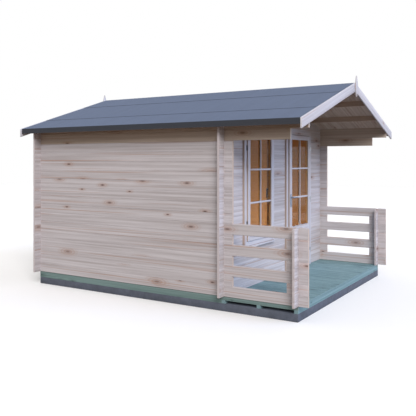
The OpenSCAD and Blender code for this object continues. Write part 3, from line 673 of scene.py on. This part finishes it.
GLASS_EDGE = 0.008
low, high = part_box("window_glass")
pane = ((low.x + GLASS_EDGE, low.z + GLASS_EDGE), (high.x - GLASS_EDGE, high.z - GLASS_EDGE))
sash = ((sash_low.x, sash_low.z), (sash_high.x, sash_high.z))
sash_boards = ring(sash, pane, sash_low.y, sash_high.y, upright_wood)
fit(joined("window_sash_boards", sash_boards), None, "cabin", "pale_joinery_pine", "window_sash")

# Door: jambs and head like the window frame, a threshold, stops, and a leaf of stiles, rails and a panel.
# The panel is six upright tongued boards let in between the lock rail and the bottom rail.

THRESHOLD_EASE = 0.003
for node in ("door_jambs", "door_stops"):
    fit(eased(node, node + "_boards", JOINERY_EASE), casing_wood, "cabin", "pale_joinery_pine", node)
# Painted shade: the door head takes the log wood, a little darker and warmer than the joinery, as if shaded
# by the porch roof.
fit(eased("door_head", "door_head_board", JOINERY_EASE), cross_spruce, "cabin", "pale_joinery_pine",
    "door_head")
fit(eased("door_threshold", "door_threshold_board", THRESHOLD_EASE), rail_wood, "cabin", "planed_pine",
    "door_threshold")

# Painted shade: behind the glass, the leaf's stiles, panel and bars take the room's colour only on faces
# turned left or right, as darker stripes beside the panes.
leaf_upright = softwood("pale joinery spruce, leaf stiles", "Z", UPRIGHT_STEPS, JOINERY,
                        inside=behind_glass, rough=JOINERY_ROUGH, edge=SIDE_SHADE_BROWN, edges_only=True)
leaf_rail = softwood("pale joinery spruce, leaf rails", "X", RAIL_STEPS, JOINERY, rough=JOINERY_ROUGH)
LOCK_RAIL = 0.09
BOTTOM_RAIL = 0.13
PANEL_IN = 0.01
PANEL_BOARDS = 6
PANEL_EASE = 0.003
leaf_low, leaf_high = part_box("door_leaf")
low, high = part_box("door_glass")
left, right = low.x + GLASS_EDGE, high.x - GLASS_EDGE
glass_foot, glass_head = low.z + GLASS_EDGE, high.z - GLASS_EDGE
near, far = leaf_low.y, leaf_high.y
leaf_boards = [board_of(leaf_upright, (leaf_low.x, near, leaf_low.z), (left, far, leaf_high.z)),
               board_of(leaf_upright, (right, near, leaf_low.z), (leaf_high.x, far, leaf_high.z))]
for wood, rail_foot, rail_head in ((leaf_rail, leaf_low.z, leaf_low.z + BOTTOM_RAIL),
                                   (leaf_rail, glass_foot - LOCK_RAIL, glass_foot),
                                   # Painted shade: the top rail takes the log wood, darker and warmer than
                                   # the joinery, as if shaded by the porch roof.
                                   (cross_spruce, glass_head, leaf_high.z)):
    leaf_boards.append(board_of(wood, (left, near, rail_foot), (right, far, rail_head)))
board_step = (right - left + JOINT) / PANEL_BOARDS
panel = board_of(leaf_upright, (left, near + PANEL_IN, leaf_low.z + BOTTOM_RAIL),
                 (left + board_step - JOINT, far - PANEL_IN, glass_foot - LOCK_RAIL), PANEL_EASE)
leaf_boards.append(repeat(panel, PANEL_BOARDS, (board_step, 0, 0)))
fit(joined("door_leaf_boards", leaf_boards), None, "door", "pale_joinery_pine", "door_leaf")

# Glazing: one sheet of clear float glass in each leaf, with bars planted on both faces to make six panes.
# The bars are moulded spruce, 22 mm wide, with rounded edges.


def window_glass_finish():
    """Clear float glass 4 mm thick: see-through, with a sharp reflection that grows at a slant.

    Its index is set well below the usual 1.5, so that the room shows through as it does in the real panes.
    """
    finish, shader = new_finish("clear float glass")
    place = add(finish, "TexCoord").outputs["Object"]
    ripple = add(finish, "TexNoise", {"Vector": place, "Scale": 1 / 0.35, "Detail": 1})
    bump = add(finish, "Bump", {"Height": ripple.outputs["Fac"], "Strength": 0.02, "Distance": 0.004})
    shader.inputs["Base Color"].default_value = linear("#f2f6f4")
    shader.inputs["Roughness"].default_value = 0.0
    shader.inputs["IOR"].default_value = 1.1
    shader.inputs["Transmission Weight"].default_value = 1.0
    feed(finish, shader, Normal=bump.outputs[0])
    return finish


clear_glass = window_glass_finish()
dress(["window_glass", "door_glass"], clear_glass)

BAR = 0.022
BAR_OUT = 0.016
BAR_IN = 0.008
BAR_EASE = 0.003
BAR_SET_BACK = 0.0005
for leaf, body, bar_upright, bar_rail in (("window", "cabin", upright_wood, rail_wood),
                                          ("door", "door", leaf_upright, leaf_rail)):
    low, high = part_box(leaf + "_glass")
    left, right = low.x + GLASS_EDGE, high.x - GLASS_EDGE
    bottom, top = low.z + GLASS_EDGE, high.z - GLASS_EDGE
    middle = (left + right) / 2
    bars = []
    for near, far in ((low.y - BAR_OUT, low.y), (high.y, high.y + BAR_IN)):
        bars.append(board_of(bar_upright, (middle - BAR / 2, near, bottom), (middle + BAR / 2, far, top),
                             BAR_EASE))
        for third in (1, 2):
            level = bottom + (top - bottom) * third / 3
            bars.append(board_of(bar_rail, (left, near + BAR_SET_BACK, level - BAR / 2),
                                 (right, far - BAR_SET_BACK, level + BAR / 2), BAR_EASE))
    fit(joined(leaf + "_glazing_bars", bars), None, body, "pale_joinery_pine")

# Ironmongery: a lever on a long plate on each face of the door, three door hinges with loose pins,
# and two barrel hinges and an inside lever on the window. The door handles are satin steel, the door
# hinges are zinc plated, and the window hinges and lever are blackened iron.


def satin_steel():
    """Satin stainless steel: grey, brushed up and down; the brush lines are drawn 2.5 mm apart to show."""
    finish, shader = new_finish("satin stainless steel")
    place = add(finish, "TexCoord").outputs["Object"]
    stretched = add(finish, "Mapping", {"Vector": place, "Scale": (1 / 0.0025, 1 / 0.0025, 12)})
    brush = add(finish, "TexNoise", {"Vector": stretched.outputs[0], "Scale": 1.0, "Detail": 2})
    shine = add(finish, "MapRange", {"Value": brush.outputs["Fac"], "To Min": 0.28, "To Max": 0.45})
    shader.inputs["Base Color"].default_value = linear("#8b97a8")
    shader.inputs["Metallic"].default_value = 1.0
    feed(finish, shader, Roughness=shine.outputs[0])
    return finish


steel = satin_steel()
dress(["door_hinge_pins", "door_hinge_barrels"], zinc)
dress(["window_hinges"], iron)
LEVER_Z = 1.32
ROSE_HALF = Vector((0.014, 0, 0.035))
ROSE_THICK = 0.006
ROSE_EASE = 0.002
NECK_R = 0.008
NECK_LENGTH = 0.03
NECK_MIDDLE = 0.02
NECK_EASE = 0.0008
GRIP_HALF = 0.009
GRIP_NEAR = 0.03
GRIP_FAR = 0.044
GRIP_DOWN = 0.11
GRIP_UP = 0.012
GRIP_EASE = 0.005
stile_x = (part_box("window_glass")[1].x - GLASS_EDGE + sash_high.x) / 2
seat = Vector((stile_x, sash_high.y, LEVER_Z))
rose = plank("rose", seat - ROSE_HALF, seat + ROSE_HALF + Vector((0, ROSE_THICK, 0)), ROSE_EASE)
bpy.ops.mesh.primitive_cylinder_add(vertices=20, radius=NECK_R, depth=NECK_LENGTH,
                                    location=seat + Vector((0, NECK_MIDDLE, 0)),
                                    rotation=(radians(90), 0, 0))
neck = bpy.context.object
bpy.ops.object.transform_apply(location=True, rotation=True, scale=True)
bpy.ops.object.mode_set(mode="EDIT")
bpy.ops.mesh.select_all(action="SELECT")
bpy.ops.mesh.bevel(offset=NECK_EASE, segments=2, affect="EDGES")
bpy.ops.object.mode_set(mode="OBJECT")
grip = plank("grip", seat + Vector((-GRIP_HALF, GRIP_NEAR, -GRIP_DOWN)),
             seat + Vector((GRIP_HALF, GRIP_FAR, GRIP_UP)), GRIP_EASE)
fit(joined("window_inside_lever", [rose, neck, grip]), iron, "cabin", "dark_iron")

HANDLE_EASE = 0.001
fit(eased("door_handles", "door_lever_handles", HANDLE_EASE), steel, "door", "grey_steel", "door_handles")
PLATE = 0.005
PLATE_HEIGHT = 0.18
PLATE_SCREW_R = 0.0035
PLATE_SCREW_IN = 0.012
CYLINDER_R = 0.0085
CYLINDER_UP = 0.048
KEYWAY_WIDE = 0.0018
KEYWAY_HIGH = 0.007
KEYWAY_IN = 0.001
KEYWAY_OUT = 0.0012
KEYWAY_EASE = 0.0002
plate_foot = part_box("door_handles")[0].z
plate_x = (leaf_low.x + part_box("door_glass")[0].x + GLASS_EDGE) / 2
key_z = plate_foot + CYLINDER_UP
locks = []
for face_y, out, turn in ((leaf_low.y - PLATE, -1, 90), (leaf_high.y + PLATE, 1, -90)):
    for radius, up in ((CYLINDER_R, CYLINDER_UP), (PLATE_SCREW_R, PLATE_SCREW_IN),
                       (PLATE_SCREW_R, PLATE_HEIGHT - PLATE_SCREW_IN)):
        head = screw_head(radius, (plate_x, face_y, plate_foot + up), (radians(turn), 0, 0))
        head.data.materials.append(steel)
        locks.append(head)
    near, far = sorted((face_y - out * KEYWAY_IN, face_y + out * KEYWAY_OUT))
    locks.append(board_of(iron, (plate_x - KEYWAY_WIDE / 2, near, key_z - KEYWAY_HIGH / 2),
                          (plate_x + KEYWAY_WIDE / 2, far, key_z + KEYWAY_HIGH / 2), KEYWAY_EASE))
fit(joined("door_key_cylinders", locks), None, "door", "grey_steel")

# Studio: a floor and a surround that look white, two wide lights, a panel light in the room that shows the
# wood behind the panes, and the photograph's view. None of it belongs to the part. The floor throws back
# brown light as bare ground does, and the surround gives less light than its white would.


def looked_at(target):
    """One for a ray that shows the target, straight or in a shine or through glass, and zero for others."""
    ray = add(target, "LightPath")
    seen = add(target, "Math", {0: ray.outputs["Is Camera Ray"], 1: ray.outputs["Is Glossy Ray"]},
               operation="MAXIMUM")
    through = add(target, "Math", {0: seen.outputs[0], 1: ray.outputs["Is Transmission Ray"]},
                  operation="MAXIMUM")
    return through.outputs[0]


FLOOR_SIZE = 60
bpy.ops.mesh.primitive_plane_add(size=FLOOR_SIZE, location=(0, 0, 0))
floor = bpy.context.object
floor.name = "studio_floor"
floor_finish, floor_shader = new_finish("pale studio floor")
floor_tone = add(floor_finish, "Mix", {0: looked_at(floor_finish), 6: linear("#553e27"),
                                       7: linear("#ffffff")}, data_type="RGBA")
floor_shader.inputs["Roughness"].default_value = 1.0
feed(floor_finish, floor_shader, Base_Color=floor_tone.outputs[2])
floor.data.materials.append(floor_finish)

scene = bpy.context.scene
world = bpy.data.worlds.new("soft surround")
scene.world = world
world.use_nodes = True
surround = world.node_tree.nodes["Background"]
surround.inputs["Color"].default_value = linear("#ffffff")
SURROUND_LEVEL = 0.62
glow = add(world, "MapRange", {"Value": looked_at(world), "To Min": SURROUND_LEVEL, "To Max": 1.0})
feed(world, surround, Strength=glow.outputs[0])

SUN_AWAY = 15


def wide_sun(name, toward, energy, spread, colour):
    """A sun spread over a wide angle, so that its shadows are soft."""
    bpy.ops.object.light_add(type="SUN", location=toward * SUN_AWAY)
    sun = bpy.context.object
    sun.name = name
    sun.data.energy = energy
    sun.data.angle = radians(spread)
    sun.data.color = linear(colour)[:3]
    sun.rotation_euler = (-toward).to_track_quat("-Z", "Y").to_euler()


wide_sun("main_light", toward=Vector((-0.63, -0.57, 0.56)), energy=2.2, spread=30, colour="#fffaf8")
wide_sun("front_light", toward=Vector((0.25, -1.0, 0.42)), energy=1.4, spread=40, colour="#b4cdfa")

LAMP_PLACE = (0.3, -0.1, 0.6)
bpy.ops.object.light_add(type="AREA", location=LAMP_PLACE, rotation=(0, radians(-90), 0))
room_lamp = bpy.context.object
room_lamp.data.energy = 14
room_lamp.data.size = 0.5
room_lamp.data.color = linear("#e3ecff")[:3]
room_lamp.visible_camera = False
room_lamp.visible_glossy = False
room_lamp.visible_transmission = False

EYE = (-7.187, -4.325, 1.677)
EYE_TURN = -58.34
bpy.ops.object.camera_add(location=EYE, rotation=(radians(90), 0, radians(EYE_TURN)))
camera = bpy.context.object
camera.data.sensor_width = 36
camera.data.lens = 51.01
camera.data.shift_y = -0.1121
camera.data.clip_end = 200
scene.camera = camera
scene.view_settings.view_transform = "Standard"
